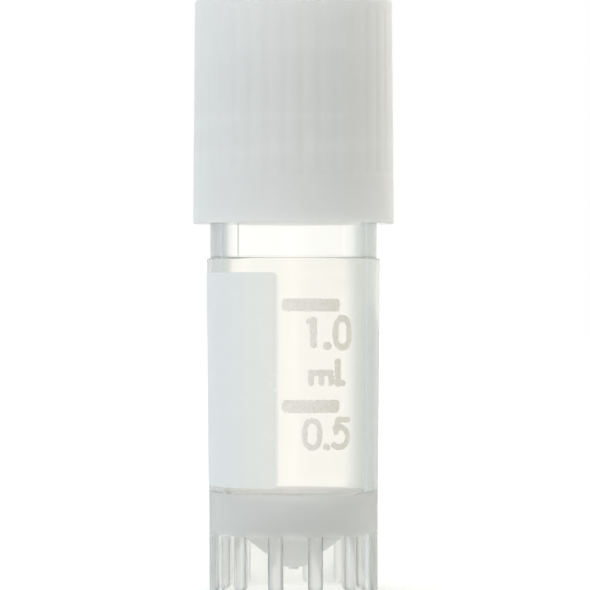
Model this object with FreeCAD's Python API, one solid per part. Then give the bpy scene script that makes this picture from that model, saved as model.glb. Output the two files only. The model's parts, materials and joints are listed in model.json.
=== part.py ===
import FreeCAD, Part
import math
import os
from FreeCAD import Vector

# Small self-standing cryogenic vial with an outside thread and a screw cap, closed.
# Millimetres, +Z up. The origin is the middle of the foot, on the surface that the vial stands on.
# The front, where the graduation is printed, faces -Y.

# ---------------------------------------------------------------- driving dimensions

# tube: one clear moulding with neck, body, conical floor and ribbed skirt
TUBE_HEIGHT = 34.95
BORE_DIAMETER = 9.62
SHOULDER_HEIGHT = 22.36
SHOULDER_DIAMETER = 11.62
SHOULDER_CHAMFER = 0.06
COLLAR_DIAMETER = 11.18
COLLAR_LENGTH = 3.7
NECK_DIAMETER = 10.9
LIP_CHAMFER = 0.12

# conical floor
FLOOR_THICKNESS = 0.94
FLOOR_CLEARANCE = 1.68
FLOOR_HALF_ANGLE = 46.2
FLOOR_TIP_RADIUS = 0.6
UNDERSIDE_HALF_ANGLE = 52.4
UNDERSIDE_CONE_DIAMETER = 6.4
UNDERSIDE_FLAT_DIAMETER = 1.5
GATE_DIAMETER = 0.7
GATE_LENGTH = 0.2

# skirt
SKIRT_DIAMETER = 11.32
SKIRT_HEIGHT = 5.0
SKIRT_WALL = 0.8
SKIRT_DEPTH = 4.35
FOOT_EDGE_CHAMFER = 0.2
FOOT_RIB_COUNT = 12
FOOT_RIB_WIDTH = 1.0
FOOT_RIB_DEPTH = 0.45
FOOT_RIB_LIFT = 0.2
FOOT_RIB_PHASE_ANGLE = 16.6

# screw thread, shared by the neck and the cap
THREAD_PITCH = 2.25
THREAD_CREST_WIDTH = 0.5
THREAD_ROOT_WIDTH = 1.0
THREAD_RUNOUT_ANGLE = 50.0
THREAD_STEP_ANGLE = 15.0
THREAD_END_HEIGHT_SHARE = 0.04
THREAD_END_WIDTH_SHARE = 0.3
NECK_THREAD_DIAMETER = 11.9
THREAD_START_DEPTH = 6.85
NECK_THREAD_TURNS = 2.25
CAP_THREAD_TURNS = 1.75
THREAD_CREST_GAP = 0.13
THREAD_ROOT_GAP = 0.15
THREAD_FLANK_GAP = 0.08

# cap: one translucent moulding
CAP_HEIGHT = 15.1
CAP_BOTTOM_DIAMETER = 13.5
CAP_TOP_DIAMETER = 13.26
CAP_TOP_CHAMFER = 0.3
CAP_TOP_EASING = 0.1
CAP_BOTTOM_CHAMFER = 0.1
CAP_MOUTH_CHAMFER = 0.2
CROWN_THICKNESS = 1.4
RECESS_DEPTH = 2.4
RECESS_DIAMETER = 10.4
RECESS_CORNER_CHAMFER = 0.2
GASKET_POCKET_DEPTH = 1.9
GRIP_COUNT = 36
GRIP_GROOVE_WIDTH = 0.75
GRIP_GROOVE_DEPTH = 0.12
PLAIN_BAND_HEIGHT = 3.1
PLAIN_RIM_HEIGHT = 0.8

# gasket: a flat silicone ring that the lip of the tube presses on
GASKET_THICKNESS = 1.0
GASKET_OUTER_DIAMETER = 11.36
GASKET_INNER_DIAMETER = 6.5
GASKET_SEAT_GAP = 0.02
GASKET_SIDE_GAP = 0.04

# print: layers of ink on the outside of the body
INK_THICKNESS = 0.04
PANEL_BOTTOM = 7.17
PANEL_TOP = 21.4
PANEL_EDGE_ANGLE = -100.5
PANEL_ANGLE = 120.0
PANEL_CORNER_RADIUS = 0.7
BAR_START_ANGLE = -97.7
BAR_ANGLE = 39.5
BAR_HEIGHT = 0.86
BAR_CORNER_RADIUS = 0.3
FULL_MARK_HEIGHT = 19.24
HALF_MARK_HEIGHT = 12.57

# ---------------------------------------------------------------- dependent sizes

BORE_RADIUS = BORE_DIAMETER / 2
SHOULDER_RADIUS = SHOULDER_DIAMETER / 2
COLLAR_RADIUS = COLLAR_DIAMETER / 2
NECK_RADIUS = NECK_DIAMETER / 2
SKIRT_RADIUS = SKIRT_DIAMETER / 2
SKIRT_INSIDE_RADIUS = SKIRT_RADIUS - SKIRT_WALL
COLLAR_TOP = SHOULDER_HEIGHT + COLLAR_LENGTH

NECK_CREST_RADIUS = NECK_THREAD_DIAMETER / 2
NECK_THREAD_START = TUBE_HEIGHT - THREAD_START_DEPTH
CAP_CREST_RADIUS = NECK_RADIUS + THREAD_ROOT_GAP
CAP_BORE_RADIUS = NECK_CREST_RADIUS + THREAD_CREST_GAP

GASKET_RADIUS = GASKET_OUTER_DIAMETER / 2
GASKET_HOLE_RADIUS = GASKET_INNER_DIAMETER / 2
GASKET_BOTTOM = TUBE_HEIGHT + GASKET_SEAT_GAP
GASKET_TOP = GASKET_BOTTOM + GASKET_THICKNESS
POCKET_RADIUS = GASKET_RADIUS + GASKET_SIDE_GAP
BOSS_RADIUS = GASKET_HOLE_RADIUS - GASKET_SIDE_GAP

CROWN_UNDERSIDE = GASKET_TOP + GASKET_SEAT_GAP
RECESS_FLOOR = CROWN_UNDERSIDE + CROWN_THICKNESS
CAP_TOP = RECESS_FLOOR + RECESS_DEPTH
CAP_BOTTOM = CAP_TOP - CAP_HEIGHT
CAP_TOP_RADIUS = CAP_TOP_DIAMETER / 2
CAP_BOTTOM_RADIUS = CAP_BOTTOM_DIAMETER / 2
RECESS_RADIUS = RECESS_DIAMETER / 2
POCKET_BOTTOM = CROWN_UNDERSIDE - GASKET_POCKET_DEPTH

FULL_TURN = 360.0
FRONT_ANGLE = -90.0
# how far two shapes that are joined reach into each other
EMBED = 0.2
CUTTER_OVERSIZE = 1.2
# sides that lean less than this count as drafted
MOST_DRAFT = 0.05


# ---------------------------------------------------------------- helpers

def at(radius, height, angle=0.0):
    """The point at this radius and height, in the half plane at this angle in degrees."""
    turn = math.radians(angle)
    return Vector(radius * math.cos(turn), radius * math.sin(turn), height)


def chamfer(before, point, after, size):
    """Where a chamfer that cuts this much off both sides of a corner starts and ends."""
    start = point + (before - point).normalize() * size
    end = point + (after - point).normalize() * size
    return start, end


def straight(start, end):
    """One side of a profile."""
    return Part.makeLine(start, end)


def moulded(start, end):
    """One side of a profile. A drafted one is kept as a spline, whose mesh is lighter than a cone's."""
    line = Part.makeLine(start, end)
    lean = abs(start.x - end.x)
    drafted = 0 < lean < abs(start.z - end.z) * MOST_DRAFT
    return line.toNurbs().Edges[0] if drafted else line


def profile(points, side):
    """A closed face in the XZ plane from points given as (radius, height).

    A third value chamfers the corner by that much.
    """
    places = [at(p[0], p[1]) for p in points]
    outline = []
    last = None
    for i, point in enumerate(points):
        start = end = places[i]
        if len(point) == 3:
            start, end = chamfer(places[i - 1], places[i], places[(i + 1) % len(places)], point[2])
        if last:
            outline.append(side(last, start))
        else:
            first = start
        if len(point) == 3:
            outline.append(Part.makeLine(start, end))
        last = end
    outline.append(side(last, first))
    return Part.Face(Part.Wire(outline))


def turned(points, angle=FULL_TURN, side=straight):
    """A solid of revolution about Z."""
    return profile(points, side).revolve(Vector(0, 0, 0), Vector(0, 0, 1), angle)


def around(shape, count, first=0.0):
    """Copies of a shape, evenly spaced about Z."""
    copies = []
    for i in range(count):
        copy = shape.copy()
        copy.rotate(Vector(0, 0, 0), Vector(0, 0, 1), first + i * FULL_TURN / count)
        copies.append(copy)
    return copies


def faded(least, share):
    """Between least, where a ridge begins, and 1, where it is whole."""
    return least + (1 - least) * share


def thread_ridge(root, crest, start, turns, first_angle):
    """A screw ridge from root to crest radius that fades out at both ends.

    start is the height of its middle where it begins, at first_angle degrees about Z.
    """
    whole = turns * FULL_TURN
    count = round(whole / THREAD_STEP_ANGLE)
    side = 1 if crest > root else -1
    base = root - side * EMBED
    sections = []
    for i in range(count + 1):
        turn = whole * i / count
        into = min(turn, whole - turn) / THREAD_RUNOUT_ANGLE
        share = 1.0 if into >= 1 else math.sin(into * math.pi / 2)
        top = root + (crest - root) * faded(THREAD_END_HEIGHT_SHARE, share)
        half_top = THREAD_CREST_WIDTH / 2 * faded(THREAD_END_WIDTH_SHARE, share)
        slope = (THREAD_ROOT_WIDTH - THREAD_CREST_WIDTH) / 2 / abs(crest - root)
        half_base = half_top + slope * abs(top - base)
        height = start + THREAD_PITCH * turn / FULL_TURN
        angle = first_angle + turn
        corners = [
            at(base, height - half_base, angle),
            at(top, height - half_top, angle),
            at(top, height + half_top, angle),
            at(base, height + half_base, angle),
        ]
        sections.append(Part.makePolygon(corners + corners[:1]))
    return Part.makeLoft(sections, True, False)


# ---------------------------------------------------------------- tube

def floor_heights():
    """Heights of the cavity's lowest point, its rounding's centre and the top of its cone."""
    lowest = FLOOR_CLEARANCE + FLOOR_THICKNESS
    centre = lowest + FLOOR_TIP_RADIUS
    half = math.radians(FLOOR_HALF_ANGLE)
    sharp = centre - FLOOR_TIP_RADIUS / math.sin(half)
    return lowest, sharp, sharp + BORE_RADIUS / math.tan(half)


def make_foot_rib():
    """An upright rib on the inside of the skirt, with a round lower end."""
    half = FOOT_RIB_WIDTH / 2
    near = SKIRT_INSIDE_RADIUS - FOOT_RIB_DEPTH
    depth = FOOT_RIB_DEPTH + SKIRT_WALL / 2
    middle = FOOT_RIB_LIFT + half
    height = SKIRT_DEPTH - middle + EMBED
    bar = Part.makeBox(depth, FOOT_RIB_WIDTH, height, Vector(near, -half, middle))
    end = Part.makeCylinder(half, depth, Vector(near, 0, middle), Vector(1, 0, 0))
    return bar.fuse(end)


def make_tube():
    lowest, sharp, cone_top = floor_heights()
    underside = math.radians(UNDERSIDE_HALF_ANGLE)
    flat = UNDERSIDE_FLAT_DIAMETER / 2
    knee = UNDERSIDE_CONE_DIAMETER / 2
    knee_height = FLOOR_CLEARANCE + (knee - flat) / math.tan(underside)
    gate = GATE_DIAMETER / 2
    outside = turned([
        (0, FLOOR_CLEARANCE - GATE_LENGTH),
        (gate, FLOOR_CLEARANCE - GATE_LENGTH),
        (gate, FLOOR_CLEARANCE),
        (flat, FLOOR_CLEARANCE),
        (knee, knee_height),
        (SKIRT_INSIDE_RADIUS, SKIRT_DEPTH),
        (SKIRT_INSIDE_RADIUS, 0),
        (SKIRT_RADIUS, 0, FOOT_EDGE_CHAMFER),
        (SKIRT_RADIUS, SKIRT_HEIGHT),
        (SHOULDER_RADIUS, SHOULDER_HEIGHT, SHOULDER_CHAMFER),
        (COLLAR_RADIUS, SHOULDER_HEIGHT),
        (COLLAR_RADIUS, COLLAR_TOP),
        (NECK_RADIUS, COLLAR_TOP + COLLAR_RADIUS - NECK_RADIUS),
        (NECK_RADIUS, TUBE_HEIGHT, LIP_CHAMFER),
        (0, TUBE_HEIGHT),
    ], side=moulded)
    above = TUBE_HEIGHT + LIP_CHAMFER
    cavity = turned([
        (0, sharp),
        (BORE_RADIUS, cone_top),
        (BORE_RADIUS, TUBE_HEIGHT - LIP_CHAMFER),
        (BORE_RADIUS + 2 * LIP_CHAMFER, above),
        (0, above),
    ])
    # the tip of the cone is rounded: it is cut off where the ball touches the cone
    half = math.radians(FLOOR_HALF_ANGLE)
    centre = lowest + FLOOR_TIP_RADIUS
    touch = centre - FLOOR_TIP_RADIUS * math.sin(half)
    tip_block = Part.makeCylinder(BORE_RADIUS, touch - sharp + EMBED, at(0, sharp - EMBED))
    ball = Part.makeSphere(FLOOR_TIP_RADIUS, at(0, centre))
    cavity = cavity.cut(tip_block).fuse(ball)
    ribs = around(make_foot_rib(), FOOT_RIB_COUNT, FRONT_ANGLE + FOOT_RIB_PHASE_ANGLE)
    thread = thread_ridge(
        NECK_RADIUS, NECK_CREST_RADIUS, NECK_THREAD_START, NECK_THREAD_TURNS, FRONT_ANGLE
    )
    return outside.fuse(ribs).fuse(thread).cut(cavity).removeSplitter()


# ---------------------------------------------------------------- cap

def make_grip_groove():
    """A cutter for one shallow upright V groove, which follows the draft of the cap's side."""
    draft = (CAP_BOTTOM_RADIUS - CAP_TOP_RADIUS) / CAP_HEIGHT
    low = CAP_BOTTOM + PLAIN_BAND_HEIGHT
    high = CAP_TOP - PLAIN_RIM_HEIGHT
    radius = CAP_BOTTOM_RADIUS - draft * PLAIN_BAND_HEIGHT
    slope = GRIP_GROOVE_DEPTH / (GRIP_GROOVE_WIDTH / 2)
    half = GRIP_GROOVE_WIDTH
    outline = Part.makePolygon([
        Vector(radius - GRIP_GROOVE_DEPTH, 0, low),
        Vector(radius - GRIP_GROOVE_DEPTH + slope * half, half, low),
        Vector(radius - GRIP_GROOVE_DEPTH + slope * half, -half, low),
        Vector(radius - GRIP_GROOVE_DEPTH, 0, low),
    ])
    return Part.Face(outline).extrude(Vector(-draft * (high - low), 0, high - low))


def make_cap():
    body = turned([
        (0, RECESS_FLOOR),
        (RECESS_RADIUS, RECESS_FLOOR, RECESS_CORNER_CHAMFER),
        (RECESS_RADIUS, CAP_TOP),
        (CAP_TOP_RADIUS - CAP_TOP_CHAMFER, CAP_TOP, CAP_TOP_EASING),
        (CAP_TOP_RADIUS, CAP_TOP - CAP_TOP_CHAMFER, CAP_TOP_EASING),
        (CAP_BOTTOM_RADIUS, CAP_BOTTOM, CAP_BOTTOM_CHAMFER),
        (CAP_BORE_RADIUS + CAP_MOUTH_CHAMFER, CAP_BOTTOM),
        (CAP_BORE_RADIUS, CAP_BOTTOM + CAP_MOUTH_CHAMFER),
        (CAP_BORE_RADIUS, POCKET_BOTTOM - (CAP_BORE_RADIUS - POCKET_RADIUS)),
        (POCKET_RADIUS, POCKET_BOTTOM),
        (POCKET_RADIUS, CROWN_UNDERSIDE),
        (BOSS_RADIUS, CROWN_UNDERSIDE),
        (BOSS_RADIUS, GASKET_BOTTOM + GASKET_SEAT_GAP),
        (0, GASKET_BOTTOM + GASKET_SEAT_GAP),
    ], side=moulded)
    # the cap's ridge lies under the neck's, with its upper side against it
    middle_width = (THREAD_ROOT_WIDTH + THREAD_CREST_WIDTH) / 2
    below = middle_width + THREAD_FLANK_GAP
    spare = (NECK_THREAD_TURNS - CAP_THREAD_TURNS) / 2
    start = NECK_THREAD_START + spare * THREAD_PITCH - below
    first = FRONT_ANGLE + spare * FULL_TURN
    thread = thread_ridge(CAP_BORE_RADIUS, CAP_CREST_RADIUS, start, CAP_THREAD_TURNS, first)
    grooves = around(make_grip_groove(), GRIP_COUNT, FULL_TURN / GRIP_COUNT / 2)
    return body.fuse(thread).cut(grooves).removeSplitter()


# ---------------------------------------------------------------- gasket

def make_gasket():
    return turned([
        (GASKET_HOLE_RADIUS, GASKET_BOTTOM),
        (GASKET_RADIUS, GASKET_BOTTOM),
        (GASKET_RADIUS, GASKET_TOP),
        (GASKET_HOLE_RADIUS, GASKET_TOP),
    ])


# ---------------------------------------------------------------- print

def body_radius(height):
    """Radius of the body's outside, which tapers from the shoulder to the skirt."""
    share = (height - SKIRT_HEIGHT) / (SHOULDER_HEIGHT - SKIRT_HEIGHT)
    return SKIRT_RADIUS + (SHOULDER_RADIUS - SKIRT_RADIUS) * share


def rounding_cutter(radius, side, end):
    """What is cut away at one corner of a layer of ink, about the rounding's centre at angle 0.

    side and end are 1 or -1, for the corner's direction around Z and along it.
    """
    reach = CUTTER_OVERSIZE * radius
    near = SKIRT_INSIDE_RADIUS
    depth = SHOULDER_RADIUS + EMBED - near
    block = Part.makeBox(depth, reach, reach, Vector(near, min(side, 0) * reach, min(end, 0) * reach))
    return block.cut(Part.makeCylinder(radius, depth, Vector(near, 0, 0), Vector(1, 0, 0)))


def ink(bottom, top, first_angle, angle, rounding):
    """A layer of ink on the body, with rounded corners."""
    layer = turned([
        (body_radius(bottom), bottom),
        (body_radius(bottom) + INK_THICKNESS, bottom),
        (body_radius(top) + INK_THICKNESS, top),
        (body_radius(top), top),
    ], angle)
    layer.rotate(Vector(0, 0, 0), Vector(0, 0, 1), first_angle)
    cutters = []
    for end, edge in ((-1, bottom), (1, top)):
        height = edge - end * rounding
        inset = math.degrees(math.asin(rounding / body_radius(height)))
        for side, turn in ((-1, first_angle + inset), (1, first_angle + angle - inset)):
            cutter = rounding_cutter(rounding, side, end)
            cutter.translate(Vector(0, 0, height))
            cutter.rotate(Vector(0, 0, 0), Vector(0, 0, 1), turn)
            cutters.append(cutter)
    return layer.cut(cutters)


def make_writing_panel():
    first = PANEL_EDGE_ANGLE - PANEL_ANGLE
    return ink(PANEL_BOTTOM, PANEL_TOP, first, PANEL_ANGLE, PANEL_CORNER_RADIUS)


def make_graduation_bars():
    bars = []
    for height in (FULL_MARK_HEIGHT, HALF_MARK_HEIGHT):
        low = height - BAR_HEIGHT / 2
        high = height + BAR_HEIGHT / 2
        bars.append(ink(low, high, BAR_START_ANGLE, BAR_ANGLE, BAR_CORNER_RADIUS))
    return Part.makeCompound(bars)


# ---------------------------------------------------------------- files

os.makedirs("parts", exist_ok=True)
pieces = {
    "tube": make_tube(),
    "cap": make_cap(),
    "gasket": make_gasket(),
    "writing_panel": make_writing_panel(),
    "graduation_bars": make_graduation_bars(),
}
for name, shape in pieces.items():
    shape.exportStep(f"parts/{name}.step")
    box = shape.BoundBox
    print(name, len(shape.Solids), shape.isValid(), round(shape.Volume, 2), box)
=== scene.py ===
import json
import math

import bmesh
import bpy
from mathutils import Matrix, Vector, noise


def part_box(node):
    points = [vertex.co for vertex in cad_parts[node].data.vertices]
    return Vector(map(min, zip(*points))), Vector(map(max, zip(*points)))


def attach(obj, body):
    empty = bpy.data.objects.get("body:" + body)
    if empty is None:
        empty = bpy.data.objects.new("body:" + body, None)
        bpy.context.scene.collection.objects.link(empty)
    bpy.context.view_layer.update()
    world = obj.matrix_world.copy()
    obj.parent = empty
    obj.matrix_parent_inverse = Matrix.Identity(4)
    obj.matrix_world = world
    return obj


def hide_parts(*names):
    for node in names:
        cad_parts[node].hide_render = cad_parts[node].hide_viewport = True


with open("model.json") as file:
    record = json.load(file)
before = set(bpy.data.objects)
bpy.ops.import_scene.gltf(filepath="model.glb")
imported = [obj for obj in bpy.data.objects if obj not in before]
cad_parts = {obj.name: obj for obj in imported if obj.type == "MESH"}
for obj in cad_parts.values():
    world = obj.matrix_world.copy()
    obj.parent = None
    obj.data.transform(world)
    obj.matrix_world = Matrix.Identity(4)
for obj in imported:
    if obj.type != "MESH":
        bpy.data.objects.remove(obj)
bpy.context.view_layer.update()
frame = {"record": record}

bl_info = {
    "name": "Cryovial",
    "version": (1, 0, 0),
    "blender": (4, 5, 0),
    "location": "3D View > Sidebar > Cryovial",
    "description": "Dresses a small self-standing cryogenic vial with its screw cap",
    "category": "Add Mesh",
}

MM = 0.001
FULL_TURN = 2 * math.pi
QUARTER_TURN = math.pi / 2
# the front, where the graduation is printed, faces -Y
FRONT = -QUARTER_TURN
BLACK = (0.0, 0.0, 0.0, 1.0)
WHITE = (1.0, 1.0, 1.0, 1.0)
POLYPROPYLENE_IOR = 1.49

TUBE_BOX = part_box("tube")
CAP_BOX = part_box("cap")
GASKET_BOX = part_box("gasket")
PANEL_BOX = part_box("writing_panel")
BARS_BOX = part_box("graduation_bars")
MOUNTS = {mount["name"]: mount for mount in frame["record"]["mounts"]}
SKIRT_RADIUS = MOUNTS["skirt_outside"]["dims"]["r_mm"] * MM
RECESS_RADIUS = MOUNTS["insert_recess"]["dims"]["r_mm"] * MM


def mm(*values):
    """Values in millimetres, as metres."""
    return tuple(value * MM for value in values)


def length(name, text, default):
    """A size in metres, shown in the scene's length unit."""
    return bpy.props.FloatProperty(
        name=name, description=text, default=default, min=0.0, unit="LENGTH", precision=5
    )


def angle(name, text, degrees):
    """An angle, given in degrees and kept in radians."""
    return bpy.props.FloatProperty(
        name=name, description=text, default=math.radians(degrees), unit="ROTATION"
    )


def share(name, text, default):
    """A number from 0 to 1."""
    return bpy.props.FloatProperty(name=name, description=text, default=default, min=0.0, max=1.0)


def colour(name, text, default):
    """A colour in linear light."""
    return bpy.props.FloatVectorProperty(
        name=name, description=text, default=default, size=3, min=0.0, max=1.0, subtype="COLOR"
    )


# ---------------------------------------------------------------- settings


class TubeSizes(bpy.types.PropertyGroup):
    """Sizes of the tube: neck, body, conical floor and ribbed skirt."""

    bore: length("Bore", "Radius of the bore", 4.81 * MM)
    shoulder_height: length("Shoulder height", "Height of the top of the body", 22.36 * MM)
    shoulder: length("Shoulder", "Radius of the body at its top", 5.81 * MM)
    shoulder_round: length("Shoulder rounding", "Rounding of the body's top edge", 0.09 * MM)
    collar: length("Collar", "Radius of the plain collar under the thread", 5.59 * MM)
    collar_length: length("Collar length", "Height of the plain collar", 3.7 * MM)
    neck: length("Neck", "Radius of the neck between the turns of the thread", 5.45 * MM)
    lip_round: length("Lip rounding", "Rounding of the lip's edges", 0.14 * MM)
    cone_top: length("Cone top", "Height at which the conical floor meets the bore", 6.56 * MM)
    cone_angle: angle("Cone angle", "Half of the inner cone's angle", 49.0)
    tip_round: length("Tip rounding", "Radius of the inner cone's rounded tip", 0.6 * MM)
    underside: length("Underside", "Height of the flat under the floor", 1.68 * MM)
    underside_flat: length("Underside flat", "Radius of the flat under the floor", 0.75 * MM)
    knee: length("Knee", "Radius at which the underside turns flatter", 3.2 * MM)
    knee_height: length("Knee height", "Height at which the underside turns flatter", 3.565 * MM)
    gate: length("Gate", "Radius of the gate mark under the floor", 0.35 * MM)
    gate_length: length("Gate length", "Length of the gate mark", 0.2 * MM)
    skirt_height: length("Skirt height", "Height of the skirt's upright outside", 5.0 * MM)
    skirt_wall: length("Skirt wall", "Thickness of the skirt", 0.8 * MM)
    skirt_depth: length("Skirt depth", "Height of the hollow inside the skirt", 4.35 * MM)
    skirt_round: length("Skirt rounding", "Rounding at the top of the hollow", 0.2 * MM)
    foot_round: length("Foot rounding", "Rounding of the foot's edges", 0.16 * MM)
    rib_count: bpy.props.IntProperty(
        name="Rib count", description="Upright ribs inside the skirt", default=12, min=0
    )
    rib_width: length("Rib width", "Width of one rib", 1.0 * MM)
    rib_depth: length("Rib depth", "How far a rib stands out of the skirt's wall", 0.45 * MM)
    rib_lift: length("Rib lift", "Height of the ribs' lower ends", 0.2 * MM)
    rib_phase: angle("Rib phase", "Turn of the first rib from the front", 16.6)
    seam_turn: angle("Seam turn", "Turn of the neck's moulding seam from the front", -40.8)
    seam_height: length("Seam height", "How far the seam stands out of the neck", 0.03 * MM)


class ThreadSizes(bpy.types.PropertyGroup):
    """Sizes of the screw thread that the neck and the cap share."""

    pitch: length("Pitch", "Rise of the thread in one turn", 2.25 * MM)
    crest: length("Crest", "Width of the ridge at its crest", 0.5 * MM)
    root: length("Root", "Width of the ridge at its root", 1.0 * MM)
    runout: angle("Run-out", "Turn over which the ridge fades at each end", 50.0)
    start: length("Start", "Height at which the neck's ridge begins", 28.1 * MM)
    neck_turns: bpy.props.FloatProperty(
        name="Neck turns", description="Turns of the neck's ridge", default=2.25, min=0.0
    )
    cap_turns: bpy.props.FloatProperty(
        name="Cap turns", description="Turns of the cap's ridge", default=1.75, min=0.0
    )
    neck_crest: length("Neck crest", "Radius of the neck's ridge", 5.95 * MM)
    cap_crest: length("Cap crest", "Radius of the cap's ridge", 5.6 * MM)
    flank_gap: length("Flank gap", "Room between the flanks of the two ridges", 0.08 * MM)


class CapSizes(bpy.types.PropertyGroup):
    """Sizes of the cap: grip, crown, recess and pocket for the gasket."""

    top_radius: length("Top radius", "Radius of the cap's side at its top", 6.63 * MM)
    bore: length("Bore", "Radius of the cap's bore", 6.08 * MM)
    pocket: length("Pocket", "Radius of the pocket that holds the gasket", 5.72 * MM)
    pocket_depth: length("Pocket depth", "Depth of that pocket", 1.9 * MM)
    boss: length("Boss", "Radius of the boss in the gasket's hole", 3.21 * MM)
    crown_height: length("Crown height", "Height of the crown's underside", 35.99 * MM)
    recess_depth: length("Recess depth", "Depth of the recess in the top", 2.4 * MM)
    top_round: length("Top rounding", "Rounding of the top edge", 0.36 * MM)
    edge_round: length("Edge rounding", "Rounding of the lower and inner edges", 0.1 * MM)
    lead_in: length("Lead-in", "Size of the slope at the bore's lower edge", 0.36 * MM)
    grip_count: bpy.props.IntProperty(
        name="Grip count", description="Upright grooves round the side", default=36, min=0
    )
    grip_depth: length("Grip depth", "Depth of one groove", 0.04 * MM)
    grip_width: length("Grip width", "Width of one groove", 0.8 * MM)
    plain_band: length("Plain band", "Height of the smooth band under the grip", 3.1 * MM)
    plain_rim: length("Plain rim", "Height of the smooth rim over the grip", 0.8 * MM)


class GasketSizes(bpy.types.PropertyGroup):
    """Sizes of the gasket that aren't in its box."""

    hole: length("Hole", "Radius of the gasket's hole", 3.25 * MM)
    edge_round: length("Edge rounding", "Rounding of its four edges", 0.08 * MM)
    columns: bpy.props.IntProperty(
        name="Columns", description="Points round the gasket", default=128, min=12
    )


class PrintSizes(bpy.types.PropertyGroup):
    """Sizes of the layers of ink on the body."""

    ink: length("Ink", "Thickness of the ink", 0.04 * MM)
    panel_edge: angle("Panel edge", "Turn of the panel's near edge from the front", -10.5)
    panel_angle: angle("Panel angle", "How far the panel goes round the body", 120.0)
    panel_round: length("Panel rounding", "Rounding of the panel's corners", 0.4 * MM)
    bar_start: angle("Bar start", "Turn of the marks' left ends from the front", -7.7)
    bar_angle: angle("Bar angle", "How far the marks go round the body", 39.5)
    bar_height: length("Bar height", "Height of a mark", 0.86 * MM)
    bold: length("Bold stroke", "Width of the upper numerals' strokes", 0.48 * MM)
    fine: length("Fine stroke", "Width of the lower numerals' strokes", 0.4 * MM)
    grain: length("Grain", "Spacing of the points that a layer of ink is made of", 0.05 * MM)


class Finishes(bpy.types.PropertyGroup):
    """Colours and finishes of the materials."""

    neck: colour("Neck", "Tint of the clear polypropylene over the shoulder", (0.975, 0.97, 0.95))
    body: colour("Body", "Its tint under the shoulder", (0.95, 0.94, 0.9))
    haze: colour("Haze", "Its colour where it is cloudy", (0.97, 0.975, 0.965))
    # painted shade: the grey of the band where the floor joins the outer wall
    band: colour("Band", "Its colour where the floor joins the outer wall", (0.9, 0.905, 0.91))
    # painted shade: the dark colour that the clear plastic takes at grazing angles
    rim: colour("Rim", "Colour that it takes at grazing angles", (0.42, 0.44, 0.43))
    tube_roughness: share("Tube roughness", "Haze of the clear polypropylene", 0.05)
    cap: colour("Cap", "Colour of the natural polypropylene", (0.97, 0.971, 0.98))
    cap_roughness: share("Cap roughness", "Haze of the natural polypropylene", 0.42)
    cap_clearness: share("Cap clearness", "How much light passes straight through the cap", 0.24)
    cap_depth: length("Cap depth", "How far light spreads inside the cap's plastic", 0.6 * MM)
    gasket: colour("Gasket", "Colour of the silicone", (0.8, 0.81, 0.8))
    panel: colour("Panel", "Colour of the writing panel", (0.8, 0.815, 0.825))
    # painted light: the panel is paler towards the window, for the light that comes through there
    panel_edge: colour(
        "Panel edge", "Its colour towards the window, where light comes through", (0.92, 0.915, 0.885)
    )
    marks: colour("Marks", "Colour of the graduation at its right", (0.93, 0.885, 0.8))
    marks_edge: colour("Marks edge", "Its paler colour at the left", (0.98, 0.93, 0.875))


class Studio(bpy.types.PropertyGroup):
    """The light, the floor and the camera."""

    lens: bpy.props.FloatProperty(
        name="Lens", description="Focal length of the camera", default=214.0, unit="CAMERA"
    )
    distance: length("Distance", "From the camera to the vial's axis", 236.0 * MM)
    height: length("Height", "Height of the camera", 19.9 * MM)
    aside: bpy.props.FloatProperty(
        name="Aside", description="The camera's place across the view", default=0.1 * MM, unit="LENGTH"
    )
    left: colour("Left light", "Colour of the light from the left", (0.85, 0.935, 1.0))
    right: colour("Right light", "Colour of the light from the right", (1.0, 0.95, 0.82))
    dim: colour("Dim", "Colour of the studio's dim parts, seen through clear things", (0.78, 0.83, 0.84))
    bright: bpy.props.FloatProperty(
        name="Bright", description="Level of its bright panels", default=1.12, min=0.0
    )
    level: bpy.props.FloatProperty(
        name="Level", description="Strength of the light on the vial", default=1.08, min=0.0
    )
    shading: bpy.props.FloatProperty(
        name="Shading", description="How much of it the shaded side loses", default=1.04, min=0.0
    )
    shade_turn: angle("Shade turn", "Turn of the studio's shaded side from the front", 68.0)
    fill_turn: angle("Fill turn", "Turn of the light behind it from the front", 128.6)
    lean: angle("Lean", "Turn of the bright panels from the axes", -3.0)


# ---------------------------------------------------------------- meshes


def smooth_step(value):
    """0 below 0, 1 above 1, and a smooth rise between."""
    value = min(max(value, 0.0), 1.0)
    return value * value * (3 - 2 * value)


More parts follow.
